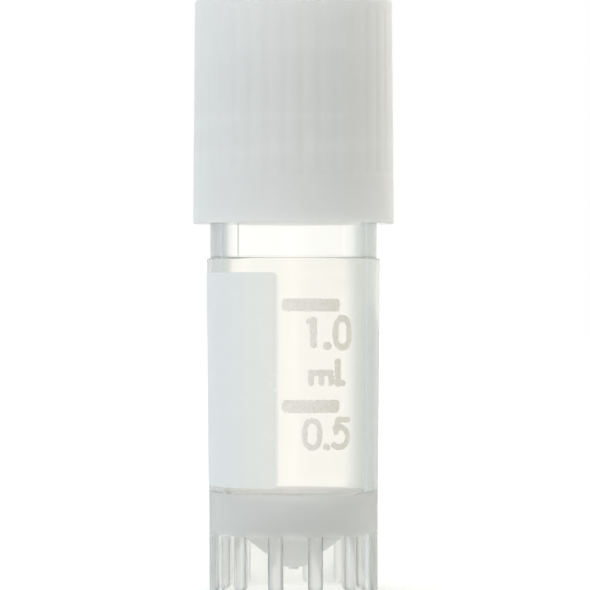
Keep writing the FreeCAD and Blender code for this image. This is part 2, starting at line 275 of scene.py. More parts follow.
class Skin:
    """A closed skin turned about Z, as rings along its section."""

    def __init__(self, angles):
        self.angles = angles
        self.rings = []

    @staticmethod
    def at(value, a):
        """A number, or a function's value at an angle."""
        return value(a) if callable(value) else value

    def ring(self, radius, height):
        """Adds a ring, unless it repeats the last one.

        Each value is a number, or a function of the angle.
        """
        if self.rings and self.same(self.rings[-1], (radius, height)):
            return
        self.rings.append((radius, height))

    def same(self, first, second):
        """Whether two rings lie within a micrometre of each other, tried at every seventh angle."""
        for one, other in zip(first, second):
            for a in self.angles[::7]:
                if abs(self.at(one, a) - self.at(other, a)) > 0.001 * MM:
                    return False
        return True

    def run(self, start, end, steps=1, relief=None):
        """Rings along a straight side, without its last one.

        relief(angle, radius, height) gives the radius at a point of the side.
        """
        for i in range(steps):
            part = i / steps
            radius = start[0] + (end[0] - start[0]) * part
            height = start[1] + (end[1] - start[1]) * part
            if relief:
                self.ring(lambda a, r=radius, h=height: relief(a, r, h), height)
            else:
                self.ring(radius, height)

    def bend(self, before, corner, after, radius, steps=4):
        """Rings round a filleted corner of the section, and returns where the fillet ends."""
        p, a, b = Vector(corner), Vector(before), Vector(after)
        to_a, to_b = (a - p).normalized(), (b - p).normalized()
        half = to_a.angle(to_b) / 2
        back = radius / math.tan(half)
        middle = p + (to_a + to_b).normalized() * (radius / math.sin(half))
        start, end = p + to_a * back, p + to_b * back
        first, last = start - middle, end - middle
        for i in range(steps + 1):
            point = middle + first.normalized().slerp(last.normalized(), i / steps) * radius
            self.ring(point.x, point.y)
        return end

    def mesh(self, name, loop=False):
        """The piece. Its first and last rings are closed at the axis, or joined to each other."""
        data = bmesh.new()
        columns = []
        for radius, height in self.rings:
            if radius == 0:
                columns.append([data.verts.new((0, 0, height))])
                continue
            ring = []
            for a in self.angles:
                r = self.at(radius, a)
                ring.append(data.verts.new((r * math.cos(a), r * math.sin(a), self.at(height, a))))
            columns.append(ring)
        pairs = list(zip(columns, columns[1:]))
        if loop:
            pairs.append((columns[-1], columns[0]))
        count = len(self.angles)
        for low, high in pairs:
            for i in range(count):
                j = (i + 1) % count
                corners = [low[i % len(low)], low[j % len(low)], high[j % len(high)], high[i % len(high)]]
                data.faces.new(list(dict.fromkeys(corners)))
        return finished(data, name)


def finished(data, name, sharp=35.0):
    """An object in the scene from a bmesh, with its faces turned outwards and shaded smooth."""
    bmesh.ops.recalc_face_normals(data, faces=data.faces)
    mesh = bpy.data.meshes.new(name)
    data.to_mesh(mesh)
    data.free()
    mesh.shade_smooth()
    mesh.set_sharp_from_angle(angle=math.radians(sharp))
    piece = bpy.data.objects.new(name, mesh)
    bpy.context.scene.collection.objects.link(piece)
    return piece


def dress(piece, material, body, slot, *nodes):
    """Gives a piece its material, its body and the CAD nodes that it stands for. slot, the material
    slot's name, is not used.
    """
    piece.data.materials.append(material)
    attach(piece, body)
    if nodes:
        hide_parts(*nodes)


# ---------------------------------------------------------------- relief


class Ridge:
    """The screw ridge of one thread, as a height over its root at any angle and height."""

    def __init__(self, sizes, start, turns, first_angle):
        self.sizes = sizes
        self.start = start
        self.whole = turns * FULL_TURN
        self.first = first_angle

    def __call__(self, around, height):
        """The ridge's height at a point, from 0 to 1."""
        sizes = self.sizes
        lead = (around - self.first) % FULL_TURN
        best = 0.0
        turn = lead
        while turn <= self.whole:
            into = min(turn, self.whole - turn) / sizes.runout
            full = 1.0 if into >= 1 else math.sin(into * QUARTER_TURN)
            away = abs(height - self.start - sizes.pitch * turn / FULL_TURN)
            flank = (sizes.root - sizes.crest) / 2
            rise = smooth_step((sizes.crest / 2 + flank - away) / flank)
            best = max(best, full * rise)
            turn += FULL_TURN
        return best


def rib_angles(count, phase, radius, half_width, inside=8, between=11):
    """Column angles that follow the ribs: close together across each rib, and even between them."""
    angles = []
    edge = math.asin(half_width / radius)
    for i in range(count):
        middle = phase + i * FULL_TURN / count
        for k in range(inside + 1):
            lean = -QUARTER_TURN + math.pi * k / inside
            angles.append(middle + math.asin(half_width * math.sin(lean) / radius))
        gap = FULL_TURN / count - 2 * edge
        for k in range(1, between + 1):
            angles.append(middle + edge + gap * k / (between + 1))
    return angles


# ---------------------------------------------------------------- materials


class Wire:
    """A socket whose arithmetic adds nodes."""

    def __init__(self, sheet, socket):
        self.sheet = sheet
        self.socket = socket

    def __add__(self, other):
        return self.sheet.maths("ADD", self, other)

    def __radd__(self, other):
        return self.sheet.maths("ADD", other, self)

    def __sub__(self, other):
        return self.sheet.maths("SUBTRACT", self, other)

    def __rsub__(self, other):
        return self.sheet.maths("SUBTRACT", other, self)

    def __mul__(self, other):
        return self.sheet.maths("MULTIPLY", self, other)

    def __rmul__(self, other):
        return self.sheet.maths("MULTIPLY", other, self)

    def __truediv__(self, other):
        return self.sheet.maths("DIVIDE", self, other)

    def __rtruediv__(self, other):
        return self.sheet.maths("DIVIDE", other, self)

    def __pow__(self, other):
        return self.sheet.maths("POWER", self, other)


class NodeSheet:
    """The node tree of a material or of the world."""

    def __init__(self, owner):
        owner.use_nodes = True
        self.tree = owner.node_tree
        self.tree.nodes.clear()

    def add(self, kind, settings=None, values=(), output=0):
        """Adds a node: its settings, then its sockets by place or by name, and gives one output."""
        node = self.tree.nodes.new(kind)
        for key, value in (settings or {}).items():
            setattr(node, key, value)
        pairs = values.items() if isinstance(values, dict) else enumerate(values)
        for key, value in pairs:
            if isinstance(value, Wire):
                self.tree.links.new(value.socket, node.inputs[key])
            elif value is not None:
                node.inputs[key].default_value = value
        return Wire(self, node.outputs[output]) if node.outputs else node

    def split(self, vector):
        """The three parts of a vector."""
        node = self.add("ShaderNodeSeparateXYZ", None, (vector,)).socket.node
        return [Wire(self, output) for output in node.outputs]

    def place(self):
        """The object's own coordinates, and the distance from its axis."""
        x, y, z = self.split(self.add("ShaderNodeTexCoord", output=3))
        return x, y, z, (x * x + y * y) ** 0.5

    def maths(self, operation, *values):
        """A Math node that has no sign in Python."""
        return self.add("ShaderNodeMath", {"operation": operation}, values)

    def clamp(self, value):
        """A value kept from 0 to 1."""
        return self.add("ShaderNodeClamp", None, (value,))

    def step(self, value, start, end, low=0.0, high=1.0):
        """A smooth change from low to high as the value goes from start to end."""
        return self.add("ShaderNodeMapRange", {"interpolation_type": "SMOOTHSTEP"}, {
            "Value": value, "From Min": start, "From Max": end, "To Min": low, "To Max": high,
        })

    def mix(self, factor, first, second):
        """A colour between two colours."""
        values = {"Factor": factor, 6: first, 7: second}
        return self.add("ShaderNodeMix", {"data_type": "RGBA"}, values, output=2)

    def noise(self, scale, detail=2.0, stretch=(1, 1, 1), offset=0.0):
        """Noise from the object's own coordinates, per metre."""
        here = self.add("ShaderNodeTexCoord", output=3)
        moved = self.add(
            "ShaderNodeMapping", None, {"Vector": here, "Scale": stretch, "Location": (offset,) * 3}
        )
        return self.add("ShaderNodeTexNoise", None, {"Vector": moved, "Scale": scale, "Detail": detail})

    def bump(self, height, strength, distance):
        """A normal from a height."""
        values = {"Strength": strength, "Distance": distance, "Height": height}
        return self.add("ShaderNodeBump", None, values)

    def surface(self, shader):
        """Joins a shader to the material's output."""
        self.add("ShaderNodeOutputMaterial", None, {"Surface": shader})


def opaque(rgb, level=1.0):
    """A colour at a level, with full alpha, as colour sockets take it."""
    return (*(level * c for c in rgb), 1.0)


def clear_polypropylene(finishes, tube):
    """Clear moulded plastic: painted shade at its rim, a painted grey band where the floor meets the
    outer wall, cloudy in its thick floor, with faint flow marks.
    """
    material = bpy.data.materials.new("clear_polypropylene")
    sheet = NodeSheet(material)
    flow = sheet.noise(260.0, 3.0, (1, 1, 0.35))
    haze = sheet.noise(900.0, 2.0)
    _, _, z, radius = sheet.place()
    facing = sheet.add("ShaderNodeLayerWeight", None, {"Blend": 0.5}, output=1)

    # the outer surface, and the parts of the tube from the shoulder down
    outside = sheet.step(radius, SKIRT_RADIUS - 0.56 * MM, SKIRT_RADIUS - 0.36 * MM)
    shoulder = tube.shoulder_height
    under_shoulder = sheet.step(z, shoulder + 0.14 * MM, shoulder - 0.16 * MM)
    floor = tube.cone_top
    skirt = sheet.step(z, floor + 0.34 * MM, floor - 0.16 * MM)
    body = under_shoulder * (1 - skirt)

    # the floor is cloudy on its two cones; where it joins the outer wall, a milky grey band is painted
    # shade, for the grey that the floor refracts there
    low = sheet.step(z, floor - 0.26 * MM, floor - 0.66 * MM)
    cones = sheet.step(radius, tube.bore - 0.41 * MM, tube.bore - 0.81 * MM)
    ribs = 0.4 * sheet.step(radius, tube.bore + 0.03 * MM, tube.bore - 0.21 * MM)
    hollow = tube.skirt_depth
    upper = sheet.step(z, hollow - 0.25 * MM, hollow - 0.01 * MM)
    cloudy = low * (1 - outside) * sheet.clamp(cones + ribs + upper)
    painted_shade_band = outside * sheet.step(z, floor + 0.24 * MM, floor + 0.04 * MM)
    painted_shade_band = painted_shade_band * sheet.step(z, hollow - 0.85 * MM, hollow + 0.15 * MM)

    # painted shade: at grazing angles the plastic is given a dark colour, most of all on the neck
    grazing = sheet.step(facing, 0.25 + 0.22 * skirt - 0.08 * body, 0.71)
    rim = outside * grazing * (0.62 - 0.2 * body - 0.1 * skirt) * (1 - painted_shade_band)
    # painted shade on the inner surfaces too, at the most grazing angles
    rim = rim + 0.6 * (1 - outside) * (facing ** 5) * (1 - 0.6 * body) * (1 - skirt)

    bump = sheet.bump(flow, 0.12, 0.05 * MM)
    tint = sheet.mix(under_shoulder * (1 - 0.85 * skirt), opaque(finishes.neck), opaque(finishes.body))
    clear = sheet.add("ShaderNodeBsdfPrincipled", None, {
        "Base Color": tint,
        "Roughness": finishes.tube_roughness * (0.7 + 0.6 * haze) + 0.3 * cloudy + 0.5 * painted_shade_band,
        "IOR": POLYPROPYLENE_IOR,
        "Transmission Weight": 1.0,
        "Normal": bump,
    })
    pale = sheet.mix(sheet.clamp(6 * rim), opaque(finishes.haze), opaque(finishes.rim))
    milky = sheet.add("ShaderNodeBsdfPrincipled", None, {
        "Base Color": sheet.mix(painted_shade_band, pale, opaque(finishes.band)),
        "Roughness": 0.5,
        "IOR": POLYPROPYLENE_IOR,
        "Normal": bump,
    })
    milkiness = 0.01 + 0.06 * skirt + rim + 0.3 * painted_shade_band + cloudy * (0.6 + 0.1 * haze)
    sheet.surface(sheet.add("ShaderNodeMixShader", None, (sheet.clamp(milkiness), clear, milky)))
    return material


def thread_band(sheet, ridge, x, y, z):
    """1 along the middle of a thread's ridge, and 0 away from it."""
    pitch = ridge.sizes.pitch
    end = ridge.start + pitch * ridge.whole / FULL_TURN
    around = sheet.maths("ARCTAN2", y, x) - ridge.first
    turns = (z - ridge.start) / pitch - around / FULL_TURN + 0.5
    away = sheet.maths("FRACT", turns) - 0.5
    band = sheet.step(away * away, 0.24 ** 2, 0.06 ** 2)
    band = band * sheet.step(z, ridge.start - 0.3 * MM, ridge.start + 0.1 * MM)
    return band * sheet.step(z, end + 0.3 * MM, end - 0.1 * MM)


def natural_polypropylene(finishes, cap, ridge):
    """Natural milky plastic: satin and faintly cloudy, with light spreading inside it.

    A faint band of painted light lies along the ridge of the cap's thread, where the ridge would show
    through the wall.
    """
    material = bpy.data.materials.new("natural_polypropylene")
    sheet = NodeSheet(material)
    cloud = sheet.noise(180.0, 3.0)
    grain = sheet.noise(5200.0, 2.0)
    x, y, z, radius = sheet.place()
    # painted light: the slope at the thin lower edge glows, for the light that comes through it
    upper = CAP_BOX[0].z + cap.lead_in
    outer = cap.bore + cap.lead_in
    slope = sheet.step(z, upper + 0.06 * MM, upper - 0.06 * MM)
    slope = slope * sheet.step(radius, outer + 0.08 * MM, outer - 0.02 * MM)
    # painted light: a fainter glow along the ridge of the cap's thread
    lit = sheet.clamp(slope + 0.058 * thread_band(sheet, ridge, x, y, z))
    sheet.surface(sheet.add("ShaderNodeBsdfPrincipled", None, {
        "Base Color": sheet.mix(cloud, opaque(finishes.cap, 0.93), opaque(finishes.cap)),
        "Roughness": finishes.cap_roughness * (0.85 + 0.3 * grain),
        "IOR": POLYPROPYLENE_IOR,
        "Transmission Weight": finishes.cap_clearness,
        "Subsurface Weight": 1.0,
        "Subsurface Radius": (1.0, 1.0, 1.0),
        "Subsurface Scale": finishes.cap_depth,
        "Emission Color": sheet.mix(lit, BLACK, opaque(finishes.cap, 0.28)),
        "Emission Strength": 1.0,
        "Normal": sheet.bump(grain, 0.15, 0.01 * MM),
    }))
    return material


def silicone(finishes):
    """Translucent silicone rubber with a dull skin."""
    material = bpy.data.materials.new("silicone")
    sheet = NodeSheet(material)
    mottle = sheet.noise(1400.0, 2.0)
    sheet.surface(sheet.add("ShaderNodeBsdfPrincipled", None, {
        "Base Color": sheet.mix(mottle, opaque(finishes.gasket, 0.93), opaque(finishes.gasket)),
        "Roughness": 0.55 + 0.1 * mottle,
        "IOR": 1.41,
        "Transmission Weight": 0.4,
        "Normal": sheet.bump(mottle, 0.1, 0.01 * MM),
    }))
    return material


def wear_and_painted_highlight(sheet, x, z, edge):
    """How pale a print is beside an edge at x: specks of wear from hands, and a painted highlight along
    the edge itself.
    """
    # the specks thin out away from the edge, and towards the foot of the print
    near = sheet.step(x, edge - 1.5 * MM, edge - 0.5 * MM) * sheet.step(z, 7.0 * MM, 8.5 * MM)
    patch = sheet.step(sheet.noise(520.0, 1.0, offset=0.3), 0.5, 0.64)
    specks = sheet.step(sheet.noise(7000.0, 1.0, offset=0.1), 0.6, 0.66)
    # the pale line along the edge itself is a painted highlight
    return near * patch * specks + 0.9 * sheet.step(x, edge - 0.16 * MM, edge - 0.1 * MM)


def printed(name, rgb, end_rgb, start, end, roughness, speckle=0.0, worn_and_highlit_edge=None):
    """Printing ink: matt, mottled and grained, and changing colour from start to end across the front.

    speckle is how strongly its dots show, and worn_and_highlit_edge is the place of an edge with specks
    of wear and a painted highlight.
    """
    material = bpy.data.materials.new(name)
    sheet = NodeSheet(material)
    mottle = sheet.noise(700.0, 3.0)
    dots = sheet.noise(9000.0, 1.0)
    x, y, z, radius = sheet.place()
    ink = sheet.mix(sheet.step(x, start, end), opaque(rgb), opaque(end_rgb))
    shade = sheet.mix(mottle * 0.1, ink, opaque((0.5, 0.5, 0.48)))
    pale = dots * 0.1 + sheet.step(dots, 0.54, 0.66) * speckle
    if worn_and_highlit_edge is not None:
        pale = pale + wear_and_painted_highlight(sheet, x, z, worn_and_highlit_edge)
    shade = sheet.mix(sheet.clamp(pale), shade, WHITE)
    shade = sheet.mix(sheet.step(dots, 0.46, 0.36) * speckle, shade, opaque(end_rgb, 0.72))
    # painted light: the layer's back glows, for the light that comes through the thin ink
    across, along, _ = sheet.split(sheet.add("ShaderNodeNewGeometry", output=1))
    back = sheet.step((across * x + along * y) / radius, -0.4, -0.8)
    sheet.surface(sheet.add("ShaderNodeBsdfPrincipled", None, {
        "Base Color": shade,
        "Roughness": roughness + 0.12 * dots,
        "IOR": 1.45,
        "Emission Color": sheet.mix(back, BLACK, opaque(rgb, 0.26)),
        "Emission Strength": 1.0,
        "Normal": sheet.bump(dots, 0.2, 0.006 * MM),
    }))
    return material


# ---------------------------------------------------------------- ink on the body


def body_radius(sizes, height):
    """Radius of the body's outside, which tapers from the shoulder to the skirt."""
    up = (height - sizes.skirt_height) / (sizes.shoulder_height - sizes.skirt_height)
    return SKIRT_RADIUS + (sizes.shoulder - SKIRT_RADIUS) * up


def rounded_box(x, z, middle, half, rounding):
    """Signed distance from a point to a rounded rectangle."""
    dx = abs(x - middle[0]) - half[0] + rounding
    dz = abs(z - middle[1]) - half[1] + rounding
    outside = math.hypot(max(dx, 0.0), max(dz, 0.0))
    return outside + min(max(dx, dz), 0.0) - rounding


def segment(x, z, start, end):
    """Distance from a point to a straight stroke."""
    dx, dz = end[0] - start[0], end[1] - start[1]
    along = ((x - start[0]) * dx + (z - start[1]) * dz) / (dx * dx + dz * dz or 1.0)
    along = min(max(along, 0.0), 1.0)
    return math.hypot(x - start[0] - along * dx, z - start[1] - along * dz)


def arc(x, z, middle, radii, first, last):
    """Distance from a point to an elliptic stroke between two angles in degrees, turning left."""
    here = math.atan2((z - middle[1]) / radii[1], (x - middle[0]) / radii[0])
    span = math.radians(last - first)
    into = (here - math.radians(first)) % FULL_TURN
    if into > span:
        into = 0.0 if into - span > (FULL_TURN - span) / 2 else span
    at = math.radians(first) + into
    return math.hypot(x - middle[0] - radii[0] * math.cos(at), z - middle[1] - radii[1] * math.sin(at))


class Ink:
    """A thin raised layer on the body, over the points where a flat distance is negative.

    x runs along the body's surface to the right of the front, and z is the height.
    """

    # the layer at its rim, and how far it reaches into the plastic, as shares of its thickness
    RIM = 0.35
    SUNK = 0.3
    # the width, in grains, over which it rises from its rim to its full thickness
    RISE = 1.5

    def __init__(self, tube, prints, distance, low, high):
        self.tube = tube
        self.prints = prints
        self.distance = distance
        self.low = low
        self.high = high

    def place(self, x, z, lift):
        """The point at a lift over the body's surface."""
        radius = body_radius(self.tube, z)
        turn = FRONT + x / radius
        return ((radius + lift) * math.cos(turn), (radius + lift) * math.sin(turn), z)

    def mesh(self, name, grain):
        """The piece: a closed layer with a rounded rim, its inner side just inside the plastic."""
        columns = round((self.high[0] - self.low[0]) / grain)
        rows = round((self.high[1] - self.low[1]) / grain)
        value = {}
        for i in range(columns + 1):
            for j in range(rows + 1):
                value[i, j] = self.distance(self.low[0] + i * grain, self.low[1] + j * grain)
        self.join_corners(value, columns, rows)
        data = bmesh.new()
        cells = {}

        def cell(i, j):
            """The outer and inner points of a cell."""
            if (i, j) not in cells:
                x, z = self.cell_point(value, i, j)
                x = self.low[0] + x * grain
                z = self.low[1] + z * grain
                depth = -self.distance(x, z)
                lift = self.RIM + (1 - self.RIM) * smooth_step(depth / (self.RISE * grain))
                outer = data.verts.new(self.place(x, z, lift * self.prints.ink))
                inner = data.verts.new(self.place(x, z, -self.SUNK * self.prints.ink))
                cells[i, j] = (outer, inner)
            return cells[i, j]

        for i in range(1, columns):
            for j in range(1, rows):
                if value[i, j] >= 0:
                    continue
                ring = [cell(i - 1, j - 1), cell(i, j - 1), cell(i, j), cell(i - 1, j)]
                data.faces.new([v[0] for v in ring])
                data.faces.new([v[1] for v in reversed(ring)])
        partner = dict(cells.values())
        for edge in [e for e in data.edges if e.is_boundary]:
            a, b = edge.verts
            if a in partner and b in partner:
                data.faces.new([b, a, partner[a], partner[b]])
        return finished(data, name, 50.0)

    @staticmethod
    def join_corners(value, columns, rows):
        """Fills a point wherever two inked points touch only across a corner."""
        inked = -1e-9
        for _ in range(3):
            for i in range(1, columns - 1):
                for j in range(1, rows - 1):
                    a, b = value[i, j] < 0, value[i + 1, j + 1] < 0
                    c, d = value[i + 1, j] < 0, value[i, j + 1] < 0
                    if a and b and not c and not d:
                        value[i + 1, j] = inked
                    elif c and d and not a and not b:
                        value[i, j] = inked

    @staticmethod
    def cell_point(value, i, j):
        """The middle of a cell, or of the rim's crossings of its sides."""
        corners = [(i, j), (i + 1, j), (i + 1, j + 1), (i, j + 1)]
        crossings = []
        for a, b in zip(corners, corners[1:] + corners[:1]):
            va, vb = value[a], value[b]
            if (va < 0) != (vb < 0):
                t = va / (va - vb)
                crossings.append((a[0] + (b[0] - a[0]) * t, a[1] + (b[1] - a[1]) * t))
        if not crossings:
            return i + 0.5, j + 0.5
        return (
            sum(c[0] for c in crossings) / len(crossings),
            sum(c[1] for c in crossings) / len(crossings),
        )


# ---------------------------------------------------------------- numerals


def worn(x, z, distance):
    """A print's distance with the pinholes and ragged rim of its dots."""
    dot = 0.1 * MM
    ragged = noise.noise(Vector((x, z, 0)) / dot) * 0.09 * MM
    pin = noise.noise(Vector((x + 1, z + 2, 0)) / dot)
    # a pinhole opens where this noise is high, and sooner near the rim
    near_rim = smooth_step(1 + distance / (0.22 * MM))
    hole = (pin - 0.56 + 0.2 * near_rim) * 0.3 * MM
    return max(distance + ragged, hole)


def figure_one(x, z):
    """The 1 under the upper mark. The heights of the figures count from their mark."""
    stem = segment(x, z, mm(1.32, -0.98), mm(1.32, -2.6))
    flag = segment(x, z, mm(1.25, -0.95), mm(1.0, -1.08)) + 0.06 * MM
    return min(stem, flag)


def point(x, z, at):
    """A decimal point, which is a little wider than it is high."""
    return math.hypot((x - at[0]) * 0.85, z - at[1]) - 0.03 * MM


def zero(x, z, middle, radii):
    """A 0 whose sides are straighter than an ellipse's."""
    # an ellipse has a power of 2, and a rectangle an endless one
    power = 2.5
    dx, dz = abs(x - middle[0]) / radii[0], abs(z - middle[1]) / radii[1]
    reach = (dx ** power + dz ** power) ** (1 / power) or 1e-6
    return math.hypot(x - middle[0], z - middle[1]) * abs(1 - 1 / reach)


def five(x, z):
    """The 5 under the lower mark."""
    back = segment(x, z, mm(3.08, -0.9), mm(2.92, -1.72))
    flag = segment(x, z, mm(3.08, -0.9), mm(3.88, -0.9))
    bowl = arc(x, z, mm(3.18, -2.04), mm(0.68, 0.66), -128, 118)
    return min(back, flag, bowl)


def letter_m(x, z):
    """The m of mL."""
    stems = min(segment(x, z, mm(at, -4.42), mm(at, -5.12)) for at in (1.16, 1.87, 2.56))
    arches = min(arc(x, z, mm(at, -4.78), mm(0.35, 0.34), 0, 180) for at in (1.52, 2.21))
    return min(stems, arches) + 0.04 * MM


def letter_l(x, z):
    """The L of mL."""
    stem = segment(x, z, mm(3.06, -3.77), mm(3.06, -5.14))
    foot = segment(x, z, mm(3.06, -5.14), mm(3.46, -5.14)) + 0.03 * MM
    return min(stem, foot)


UPPER_FIGURES = (
    figure_one,
    lambda x, z: point(x, z, mm(2.28, -2.69)),
    lambda x, z: zero(x, z, mm(3.43, -1.84), mm(0.54, 0.94)),
    letter_m,
    letter_l,
)
LOWER_FIGURES = (
    lambda x, z: zero(x, z, mm(1.24, -1.83), mm(0.5, 0.88)),
    lambda x, z: point(x, z, mm(2.22, -2.68)),
    five,
)


# ---------------------------------------------------------------- tube and cap


class TubeShape:
    """The tube's rings, from the middle of the underside round the outside to the middle of the floor."""

    # degrees from the middle of a moulding seam to the columns beside it
    SEAM_COLUMNS = (-1.2, -0.6, -0.3, 0, 0.3, 0.6, 1.2)
    SEAM_HALF = math.radians(0.6)

    def __init__(self, sizes, thread):
        self.sizes = sizes
        self.thread = thread
        self.top = TUBE_BOX[1].z
        self.inside = SKIRT_RADIUS - sizes.skirt_wall
        self.half_rib = sizes.rib_width / 2
        self.rib_low = sizes.rib_lift + self.half_rib
        self.collar_top = sizes.shoulder_height + sizes.collar_length
        self.skin = Skin(self.angles())

    def angles(self):
        """Column angles, which crowd together at the ribs and at the two seams."""
        s = self.sizes
        angles = rib_angles(s.rib_count, FRONT + s.rib_phase, self.inside, self.half_rib)
        for turn in (s.seam_turn, s.seam_turn + math.pi):
            angles += [FRONT + turn + math.radians(step) for step in self.SEAM_COLUMNS]
        return sorted({round(a % FULL_TURN, 5) for a in angles})

    def rib(self, a, height):
        """How far the nearest rib stands out of the skirt's wall."""
        s = self.sizes
        pitch = FULL_TURN / s.rib_count
        off = (a - FRONT - s.rib_phase + pitch / 2) % pitch - pitch / 2
        across = self.inside * math.sin(off) / self.half_rib
        below = max(0.0, (self.rib_low - height) / self.half_rib)
        left = 1 - across * across - below * below
        return s.rib_depth * math.sqrt(left) if left > 0 else 0.0

    def wall(self, a):
        """Radius of the skirt's inside over the ribs' lower ends."""
        return self.inside - self.rib(a, self.rib_low)

    def ceiling(self, radius):
        """Height of the underside between the knee and the skirt."""
        s = self.sizes
        slope = (s.skirt_depth - s.knee_height) / (self.inside - s.knee)
        return s.knee_height + (radius - s.knee) * slope

    def hollow(self, a, lean):
        """Radius and height on the rounded corner between the underside and the skirt."""
        back = self.sizes.skirt_round
        wall = self.wall(a)
        low = self.ceiling(wall) - back
        high = self.ceiling(wall - back)
        return wall - back * (1 - math.sin(lean)), low + (high - low) * math.cos(lean)

    def seam(self, a, radius, height):
        """The radius with the two seams that the halves of the mould leave."""
        off = (a - FRONT - self.sizes.seam_turn + QUARTER_TURN) % math.pi - QUARTER_TURN
        nearer = 1.0 if math.sin(a) < 0 else 0.35
        return radius + nearer * self.sizes.seam_height * max(0.0, 1 - abs(off) / self.SEAM_HALF)

    def underside(self):
        """Gate mark, flat and cone under the floor."""
        s, skin = self.sizes, self.skin
        gate_end = s.underside - s.gate_length
        skin.ring(0, gate_end)
        skin.ring(s.gate * 0.8, gate_end)
        skin.ring(s.gate, s.underside - s.gate_length * 0.8)
        skin.ring(s.gate, s.underside - s.gate_length * 0.1)
        skin.ring(s.gate * 1.15, s.underside)
        knee = (s.knee, s.knee_height)
        end = skin.bend((s.gate, s.underside), (s.underside_flat, s.underside), knee, 0.15 * MM)
        skin.run(end, knee, 6)
        near = self.inside - s.rib_depth - s.skirt_round - 0.1 * MM
        skin.run(knee, (near, self.ceiling(near)), 3)

    def skirt(self):
        """Inside of the skirt with its ribs."""
        skin = self.skin
        for k in range(7):
            lean = QUARTER_TURN * k / 6
            skin.ring(lambda a, t=lean: self.hollow(a, t)[0], lambda a, t=lean: self.hollow(a, t)[1])

        def down(a, part):
            """Height at a part of the way from the rounded corner to the ribs' lower ends."""
            return self.hollow(a, QUARTER_TURN)[1] * (1 - part) + self.rib_low * part

        for k in range(1, 13):
            skin.ring(self.wall, lambda a, part=k / 13: down(a, part))
        for k in range(9):
            height = self.sizes.rib_lift + self.half_rib * (1 - math.sin(QUARTER_TURN * k / 8))
            skin.ring(lambda a, h=height: self.inside - self.rib(a, h), height)

    def outside(self):
        """Foot, body and collar."""
        s, skin = self.sizes, self.skin
        foot = (SKIRT_RADIUS, 0)
        skirt_top = (SKIRT_RADIUS, s.skirt_height)
        shoulder = (s.shoulder, s.shoulder_height)
        ledge = (s.collar, s.shoulder_height)
        collar = (s.collar, self.collar_top)
        skin.bend((self.inside, s.rib_lift), (self.inside, 0), foot, s.foot_round * 0.6)
        end = skin.bend((self.inside, 0), foot, skirt_top, s.foot_round)
        skin.run(end, skirt_top, 10)
        skin.run(skirt_top, (s.shoulder, s.shoulder_height - 2 * s.shoulder_round), 24)
        skin.bend(foot, shoulder, ledge, s.shoulder_round)
        skin.bend(shoulder, ledge, collar, 0.08 * MM, 3)
        skin.run((s.collar, s.shoulder_height + 0.15 * MM), collar, 8, self.seam)

    def neck(self):
        """Neck with its thread, and the lip. Returns where the lip ends in the bore."""
        s, t, skin = self.sizes, self.thread, self.skin
        ridge = Ridge(t, t.start, t.neck_turns, FRONT)
        rise = t.neck_crest - s.neck

        def threaded(a, radius, height):
            """The radius with the ridge and the seams."""
            return self.seam(a, radius + rise * ridge(a, height), height)

        foot = self.collar_top + s.collar - s.neck
        skin.ring(s.collar, self.collar_top)
        skin.run((s.neck, foot), (s.neck, self.top - 0.3 * MM), 92, threaded)
        skin.bend((s.neck, foot), (s.neck, self.top), (s.bore, self.top), s.lip_round)
        return skin.bend((s.neck, self.top), (s.bore, self.top), (s.bore, foot), s.lip_round)

    def bore(self, start):
        """Bore and conical floor."""
        s, skin = self.sizes, self.skin
        skin.run(start, (s.bore, s.cone_top + 0.1 * MM), 30)
        apex = s.cone_top - s.bore / math.tan(s.cone_angle)
        end = skin.bend((s.bore, self.top), (s.bore, s.cone_top), (0, apex), 0.12 * MM)
        centre = apex + s.tip_round / math.sin(s.cone_angle)

        def tip(lean):
            """The point of the rounded tip at a lean from its side to its lowest point."""
            return s.tip_round * math.cos(lean), centre - s.tip_round * math.sin(lean)

        skin.run(end, tip(s.cone_angle), 10)
        for k in range(6):
            skin.ring(*tip(s.cone_angle + (QUARTER_TURN - s.cone_angle) * k / 6))
        skin.ring(0, centre - s.tip_round)

    def piece(self, name):
        """The whole tube."""
        self.underside()
        self.skirt()
        self.outside()
        self.bore(self.neck())
        return self.skin.mesh(name)


